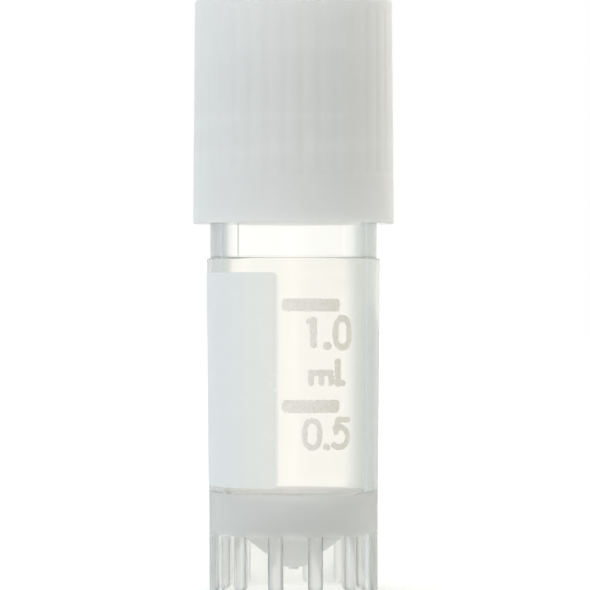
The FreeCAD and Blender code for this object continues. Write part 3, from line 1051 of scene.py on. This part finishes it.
class CapShape:
    """The cap's rings, from the middle of the recess round the side to the boss under the crown."""

    COLUMNS_PER_GROOVE = 10
    # radius and rise of the mark that the gate leaves in the middle of the recess
    GATE_MARK = (mm(0, 0.05), mm(0.35, 0.05), mm(0.42, -0.02), mm(0.8, -0.02), mm(0.95, 0))

    def __init__(self, sizes, thread):
        self.sizes = sizes
        self.thread = thread
        self.bottom, self.top = CAP_BOX[0].z, CAP_BOX[1].z
        self.wide = CAP_BOX[1].x
        self.grip_low = self.bottom + sizes.plain_band
        self.grip_high = self.top - sizes.plain_rim
        self.ridge = self.inner_ridge()
        count = sizes.grip_count * self.COLUMNS_PER_GROOVE
        self.skin = Skin([FULL_TURN * i / count for i in range(count)])

    def inner_ridge(self):
        """The cap's ridge, which runs just under the neck's."""
        t = self.thread
        spare = (t.neck_turns - t.cap_turns) / 2
        start = t.start + spare * t.pitch - (t.root + t.crest) / 2 - t.flank_gap
        return Ridge(t, start, t.cap_turns, FRONT + spare * FULL_TURN)

    def gripped(self, a, radius, height):
        """The radius with the grooves of the grip, which fade out at both ends."""
        s = self.sizes
        pitch = FULL_TURN / s.grip_count
        off = (a % pitch) - pitch / 2
        across = abs(off) * radius / (s.grip_width / 2)
        depth = 0.5 + 0.5 * math.cos(math.pi * min(across, 1.0))
        ends = smooth_step((height - self.grip_low) / (0.35 * MM))
        ends *= smooth_step((self.grip_high - height) / (0.25 * MM))
        return radius - s.grip_depth * depth * ends

    def recess(self):
        """Recess in the top."""
        s, skin = self.sizes, self.skin
        floor = self.top - s.recess_depth
        corner = (RECESS_RADIUS, floor)
        edge = (RECESS_RADIUS, self.top)
        for radius, rise in self.GATE_MARK:
            skin.ring(radius, floor + rise)
        skin.run((1.2 * MM, floor), (RECESS_RADIUS - 0.6 * MM, floor), 4)
        end = skin.bend((0, floor), corner, edge, 0.2 * MM)
        skin.run(end, (RECESS_RADIUS, self.top - 0.2 * MM), 5)
        skin.bend(corner, edge, (s.top_radius, self.top), s.edge_round)

    def side(self):
        """Rim, and side with its grip."""
        s, skin = self.sizes, self.skin
        low, high = self.grip_low, self.grip_high
        draft = (self.wide - s.top_radius) / (self.top - self.bottom)

        def at(height):
            """The side's point at a height."""
            return s.top_radius + draft * (self.top - height), height

        rim = (s.top_radius, self.top)
        end = skin.bend((RECESS_RADIUS, self.top), rim, (self.wide, self.bottom), s.top_round, 6)
        skin.run(end, at(high), 3)
        skin.run(at(high), at(high - 0.3 * MM), 5, self.gripped)
        skin.run(at(high - 0.3 * MM), at(low + 0.4 * MM), 22, self.gripped)
        skin.run(at(low + 0.4 * MM), at(low), 6, self.gripped)
        skin.run(at(low), at(self.bottom + 0.3 * MM), 5)

    def mouth(self):
        """Lower edge, with the slope that leads into the bore. Returns the slope's upper end."""
        s, skin, bottom = self.sizes, self.skin, self.bottom
        outer = (self.wide, bottom)
        foot = (s.bore + s.lead_in, bottom)
        slope = (s.bore, bottom + s.lead_in)
        skin.bend((self.wide, self.top), outer, (s.bore, bottom), s.edge_round)
        skin.bend(outer, foot, slope, 0.05 * MM, 2)
        skin.bend(foot, slope, (s.bore, self.top), 0.1 * MM, 2)
        return slope[1]

    def bore(self, start):
        """Bore with its thread, and the wall of the gasket's pocket."""
        s, skin = self.sizes, self.skin
        rise = s.bore - self.thread.cap_crest

        def threaded(a, radius, height):
            """The radius with the ridge."""
            return radius - rise * self.ridge(a, height)

        pocket = (s.pocket, s.crown_height - s.pocket_depth)
        bore_end = (s.bore, pocket[1] - (s.bore - s.pocket))
        skin.run((s.bore, start + 0.06 * MM), bore_end, 84, threaded)
        skin.bend((s.bore, self.bottom), bore_end, pocket, 0.1 * MM, 2)
        skin.bend(bore_end, pocket, (s.pocket, s.crown_height), 0.1 * MM, 2)
        skin.run((s.pocket, pocket[1] + 0.1 * MM), (s.pocket, s.crown_height - 0.15 * MM), 3)

    def crown(self):
        """Underside of the crown, with the boss in the gasket's hole."""
        s, skin, high = self.sizes, self.skin, self.sizes.crown_height
        face = GASKET_BOX[0].z + 0.02 * MM
        skin.bend((s.pocket, self.bottom), (s.pocket, high), (s.boss, high), 0.1 * MM, 2)
        skin.run((s.pocket - 0.3 * MM, high), (s.boss + 0.3 * MM, high), 3)
        skin.bend((s.pocket, high), (s.boss, high), (s.boss, face), 0.08 * MM, 2)
        skin.bend((s.boss, high), (s.boss, face), (0, face), 0.15 * MM, 3)
        skin.run((s.boss - 0.4 * MM, face), (0.5 * MM, face), 3)
        skin.ring(0.5 * MM, face)
        skin.ring(0, face)

    def piece(self, name):
        """The whole cap."""
        self.recess()
        self.side()
        self.bore(self.mouth())
        self.crown()
        return self.skin.mesh(name)


# ---------------------------------------------------------------- operators


class CRYOVIAL_OT_tube(bpy.types.Operator):
    """Makes the clear tube with its thread, conical floor and ribbed skirt"""

    bl_idname = "cryovial.tube"
    bl_label = "Tube"

    def execute(self, context):
        scene = context.scene
        piece = TubeShape(scene.cryovial_tube, scene.cryovial_thread).piece("tube_moulding")
        material = clear_polypropylene(scene.cryovial_finishes, scene.cryovial_tube)
        dress(piece, material, "vial", "clear_polypropylene", "tube")
        return {"FINISHED"}


class CRYOVIAL_OT_cap(bpy.types.Operator):
    """Makes the milky screw cap with its grip, recess and inner thread"""

    bl_idname = "cryovial.cap"
    bl_label = "Cap"

    def execute(self, context):
        scene = context.scene
        shape = CapShape(scene.cryovial_cap, scene.cryovial_thread)
        piece = shape.piece("cap_moulding")
        material = natural_polypropylene(scene.cryovial_finishes, scene.cryovial_cap, shape.ridge)
        dress(piece, material, "closure", "natural_polypropylene", "cap")
        return {"FINISHED"}


class CRYOVIAL_OT_gasket(bpy.types.Operator):
    """Makes the flat silicone ring that the tube's lip presses on"""

    bl_idname = "cryovial.gasket"
    bl_label = "Gasket"

    def execute(self, context):
        s = context.scene.cryovial_gasket
        low, high = GASKET_BOX[0].z, GASKET_BOX[1].z
        outer = GASKET_BOX[1].x
        skin = Skin([FULL_TURN * i / s.columns for i in range(s.columns)])
        corners = [Vector(c) for c in ((s.hole, low), (outer, low), (outer, high), (s.hole, high))]
        for i, corner in enumerate(corners):
            after = corners[(i + 1) % 4]
            end = skin.bend(corners[i - 1], corner, after, s.edge_round, 3)
            # the side between two rounded edges, kept a little away from both
            stop = after + (corner - after).normalized() * s.edge_round * 1.6
            start = end + (after - corner).normalized() * s.edge_round * 0.6
            skin.run(start, stop, 3)
            skin.ring(stop.x, stop.y)
        piece = skin.mesh("gasket_ring", loop=True)
        dress(piece, silicone(context.scene.cryovial_finishes), "seal", "silicone", "gasket")
        return {"FINISHED"}


class CRYOVIAL_OT_panel(bpy.types.Operator):
    """Makes the white writing panel"""

    bl_idname = "cryovial.panel"
    bl_label = "Writing panel"

    def execute(self, context):
        tube = context.scene.cryovial_tube
        prints = context.scene.cryovial_print
        low, high = PANEL_BOX[0].z, PANEL_BOX[1].z
        middle = prints.panel_edge - prints.panel_angle / 2
        half_height = (high - low) / 2
        centre_height = (high + low) / 2

        def panel(x, z):
            """Distance to the panel's edge, negative on it."""
            radius = body_radius(tube, z)
            off = x - middle * radius
            half = (prints.panel_angle / 2 * radius, half_height)
            return rounded_box(off, z - centre_height, (0, 0), half, prints.panel_round)

        reach = prints.panel_angle * tube.shoulder
        right = prints.panel_edge * SKIRT_RADIUS
        corners = (right - reach, low - 0.2 * MM), (right + 0.3 * MM, high + 0.2 * MM)
        ink = Ink(tube, prints, panel, *corners)
        # the panel is large and plain, so its grain is coarser
        piece = ink.mesh("writing_panel_ink", 2.4 * prints.grain)
        colours = context.scene.cryovial_finishes
        # the panel's paler colour towards the window is painted light
        material = printed(
            "white_ink", colours.panel, colours.panel_edge, -5 * MM, -1 * MM,
            # the panel's right edge has specks of wear and a painted highlight
            roughness=0.55, worn_and_highlit_edge=SKIRT_RADIUS * math.sin(prints.panel_edge),
        )
        dress(piece, material, "vial", "white_ink", "writing_panel")
        return {"FINISHED"}


class CRYOVIAL_OT_graduation(bpy.types.Operator):
    """Makes the two volume marks and their numerals"""

    bl_idname = "cryovial.graduation"
    bl_label = "Graduation"

    def execute(self, context):
        tube = context.scene.cryovial_tube
        prints = context.scene.cryovial_print
        colours = context.scene.cryovial_finishes
        material = printed(
            "graduation_ink", colours.marks_edge, colours.marks, 1.2 * MM, 2.8 * MM,
            roughness=0.6, speckle=0.3,
        )
        half_mark = BARS_BOX[0].z + prints.bar_height / 2
        full_mark = BARS_BOX[1].z - prints.bar_height / 2
        corner = 0.3 * MM
        # the layer's points reach this far past the marks, for their ragged rims
        room = 0.3 * MM

        def marks(x, z):
            """Distance to the nearer mark's edge, negative on it."""
            best = 1.0
            for height in (full_mark, half_mark):
                radius = body_radius(tube, height)
                half = (prints.bar_angle * radius / 2, prints.bar_height / 2)
                middle = (prints.bar_start + prints.bar_angle / 2) * radius
                best = min(best, rounded_box(x, z, (middle, height), half, corner))
            return worn(x, z, best)

        radius = tube.shoulder
        left = prints.bar_start * radius - room
        right = (prints.bar_start + prints.bar_angle) * radius + room
        low, high = BARS_BOX[0].z - room, BARS_BOX[1].z + room
        bars = Ink(tube, prints, marks, (left, low), (right, high)).mesh("graduation_marks", prints.grain)
        dress(bars, material, "vial", "graduation_ink", "graduation_bars")

        def figures(x, z):
            """Distance to the nearest stroke's edge, negative on it."""
            upper = min(figure(x, z - full_mark) for figure in UPPER_FIGURES) - prints.bold / 2
            lower = min(figure(x, z - half_mark) for figure in LOWER_FIGURES) - prints.fine / 2
            return worn(x, z, min(upper, lower))

        # the field that the figures lie in, from under the lower ones to over the upper ones
        low, high = half_mark - 3.3 * MM, full_mark - 0.5 * MM
        left, right = 0.2 * MM, 4.8 * MM
        ink = Ink(tube, prints, figures, (left, low), (right, high))
        dress(ink.mesh("graduation_figures", prints.grain), material, "vial", "graduation_ink")
        return {"FINISHED"}


class CRYOVIAL_OT_stage(bpy.types.Operator):
    """Makes the floor, the light and the camera"""

    bl_idname = "cryovial.stage"
    bl_label = "Stage"

    def execute(self, context):
        s = context.scene.cryovial_studio
        scene = context.scene
        scene.view_settings.view_transform = "Standard"
        # light is reflected many times inside the thick clear floor before it comes out
        scene.cycles.max_bounces = 24
        scene.cycles.transmission_bounces = 24
        scene.cycles.glossy_bounces = 16
        scene.cycles.diffuse_bounces = 6
        self.world(scene, s)
        self.floor(s)
        self.camera(scene, s)
        return {"FINISHED"}

    @staticmethod
    def rays(sheet):
        """Whether a ray comes from the camera, and whether it has passed through something clear."""
        path = sheet.add("ShaderNodeLightPath").socket.node
        return [Wire(sheet, path.outputs[name]) for name in ("Is Camera Ray", "Is Transmission Ray")]

    @staticmethod
    def towards(sheet, x, y, turn):
        """How far a direction points towards a turn from the front, from 0 to 1."""
        return sheet.clamp(x * math.sin(turn) - y * math.cos(turn))

    @staticmethod
    def panels(sheet, s, x, y):
        """The studio as clear things show it: bright panels round the vial, and dim between them."""
        count = 4
        # degrees from a panel's middle to where it starts to fade, and to where it is dim
        bright, faded = (math.cos(count * math.radians(turn)) for turn in (9.5, 19.0))
        azimuth = sheet.maths("ARCTAN2", x, y)
        wave = sheet.maths("COSINE", count * (azimuth - s.lean))
        return sheet.mix(sheet.step(wave, faded, bright), opaque(s.dim), opaque([s.bright] * 3))

    def world(self, scene, s):
        """A white studio: cool on the left, warm on the right, and dimmer at the front right."""
        scene.world = bpy.data.worlds.new("studio")
        sheet = NodeSheet(scene.world)
        x, y, _ = sheet.split(sheet.add("ShaderNodeTexCoord", output=0))
        across = sheet.clamp(x * 0.5 + 0.5)
        tint = sheet.mix(across, opaque(s.left), opaque(s.right))
        shade = self.towards(sheet, x, y, s.shade_turn)
        fill = self.towards(sheet, x, y, s.fill_turn)
        level = s.level - s.shading * shade ** 2 + fill ** 4
        camera, through = self.rays(sheet)
        lit = sheet.mix(through, tint, self.panels(sheet, s, x, y))
        final = sheet.mix(camera, lit, WHITE)
        plain = sheet.clamp(camera + through)
        strength = plain + (1 - plain) * level
        light = sheet.add("ShaderNodeBackground", None, {"Color": final, "Strength": strength})
        sheet.add("ShaderNodeOutputWorld", None, {"Surface": light})

    def floor(self, s):
        """A wide pale floor, lit from below under the vial.

        The camera sees it white but for the vial's shadow, and clear things show the panels in it.
        """
        data = bmesh.new()
        bmesh.ops.create_grid(data, x_segments=8, y_segments=8, size=1.5)
        floor = finished(data, "floor")
        material = bpy.data.materials.new("pale_floor")
        sheet = NodeSheet(material)
        camera, through = self.rays(sheet)
        matt = sheet.add("ShaderNodeBsdfDiffuse", None, {"Color": opaque([0.93] * 3)})
        x, y, _, radius = sheet.place()
        # the skirt stands over this bright round patch
        under = (1 - camera) * sheet.step(radius, 9 * MM, 6 * MM)
        strength = 0.25 * (camera + under)
        glow = sheet.add("ShaderNodeEmission", None, {"Color": WHITE, "Strength": strength})
        both = sheet.add("ShaderNodeAddShader", None, (matt, glow))
        away = sheet.step(radius, 6 * MM, 20 * MM)
        view = sheet.mix(away, opaque([0.98] * 3), self.panels(sheet, s, x, y))
        screen = sheet.add("ShaderNodeEmission", None, {"Color": view, "Strength": 1.0})
        sheet.surface(sheet.add("ShaderNodeMixShader", None, (through, both, screen)))
        floor.data.materials.append(material)

    @staticmethod
    def camera(scene, s):
        """The camera, level and at the front."""
        data = bpy.data.cameras.new("camera")
        data.lens = s.lens
        data.clip_start = 0.01
        data.clip_end = 10.0
        camera = bpy.data.objects.new("camera", data)
        camera.location = (s.aside, -s.distance, s.height)
        camera.rotation_euler = (QUARTER_TURN, 0, 0)
        scene.collection.objects.link(camera)
        scene.camera = camera


class CRYOVIAL_PT_sidebar(bpy.types.Panel):
    """Lists the vial's pieces and their settings"""

    bl_idname = "CRYOVIAL_PT_sidebar"
    bl_label = "Cryovial"
    bl_space_type = "VIEW_3D"
    bl_region_type = "UI"
    bl_category = "Cryovial"

    def draw(self, context):
        for operator in OPERATORS:
            self.layout.operator(operator.bl_idname)
        for place, group in SETTINGS.items():
            box = self.layout.box()
            box.label(text=group.__doc__)
            settings = getattr(context.scene, place)
            for name in group.__annotations__:
                box.prop(settings, name)


SETTINGS = {
    "cryovial_tube": TubeSizes,
    "cryovial_thread": ThreadSizes,
    "cryovial_cap": CapSizes,
    "cryovial_gasket": GasketSizes,
    "cryovial_print": PrintSizes,
    "cryovial_finishes": Finishes,
    "cryovial_studio": Studio,
}

OPERATORS = (
    CRYOVIAL_OT_tube,
    CRYOVIAL_OT_cap,
    CRYOVIAL_OT_gasket,
    CRYOVIAL_OT_panel,
    CRYOVIAL_OT_graduation,
    CRYOVIAL_OT_stage,
)


def register():
    """Registers the settings, the operators and the panel."""
    for place, group in SETTINGS.items():
        bpy.utils.register_class(group)
        setattr(bpy.types.Scene, place, bpy.props.PointerProperty(type=group))
    for operator in OPERATORS:
        bpy.utils.register_class(operator)
    bpy.utils.register_class(CRYOVIAL_PT_sidebar)


def unregister():
    """Takes them out again."""
    bpy.utils.unregister_class(CRYOVIAL_PT_sidebar)
    for operator in reversed(OPERATORS):
        bpy.utils.unregister_class(operator)
    for place, group in SETTINGS.items():
        delattr(bpy.types.Scene, place)
        bpy.utils.unregister_class(group)


def main():
    """Registers the settings and operators, and makes every piece."""
    register()
    for operator in OPERATORS:
        group, name = operator.bl_idname.split(".")
        getattr(getattr(bpy.ops, group), name)()


if __name__ == "__main__":
    main()
